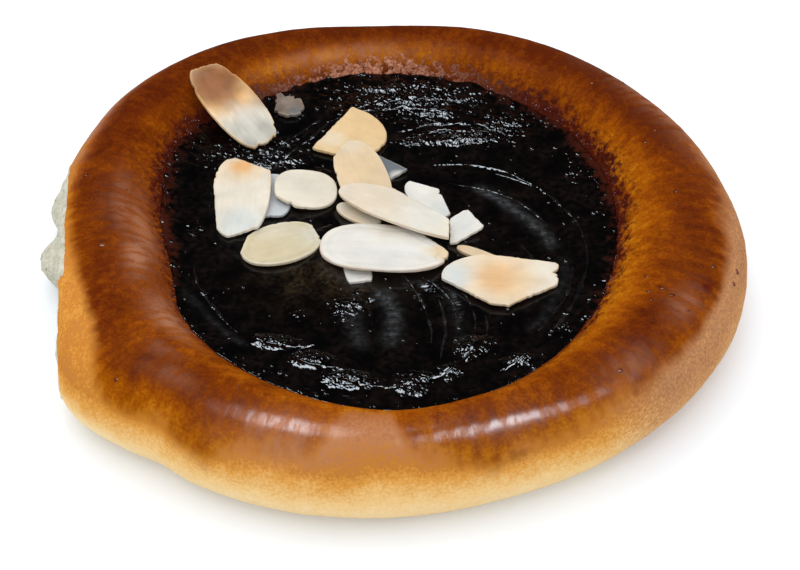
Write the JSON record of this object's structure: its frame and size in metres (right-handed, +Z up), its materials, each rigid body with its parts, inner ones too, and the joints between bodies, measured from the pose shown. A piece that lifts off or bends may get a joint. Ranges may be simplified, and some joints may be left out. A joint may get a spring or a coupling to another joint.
{
  "type": "yeast cake",
  "caption": "Round open yeast cake: a browned bread ring with one torn side, filled with dark plum jam and topped with broken almond flakes.",
  "frame": {"origin": "middle of the cake's bounding box, on the flat base it rests on", "axes": "+Z up through the jam, -Y towards the viewer of the picture, -X towards the torn side"},
  "size_m": [0.1176, 0.1106, 0.0204],
  "materials": {
    "crust": "egg-washed baked crust, satin",
    "jam": "thick wet plum jam, glossy",
    "almond": "dry sliced almond, satin"
  },
  "bodies": {
    "root": {"dough": "crust", "jam": "jam", "almond_on_rim": "almond", "almond_sunk_chip": "almond", "almond_half_back": "almond", "almond_upright_middle": "almond", "almond_left_long": "almond", "almond_left_under": "almond", "almond_left_oval": "almond", "almond_left_low": "almond", "almond_top_long": "almond", "almond_under_top": "almond", "almond_grey_corner": "almond", "almond_white_behind": "almond", "almond_chip_right": "almond", "almond_sliver": "almond", "almond_big_white": "almond", "almond_chip_front": "almond", "almond_right_long": "almond"}
  },
  "joints": []
}
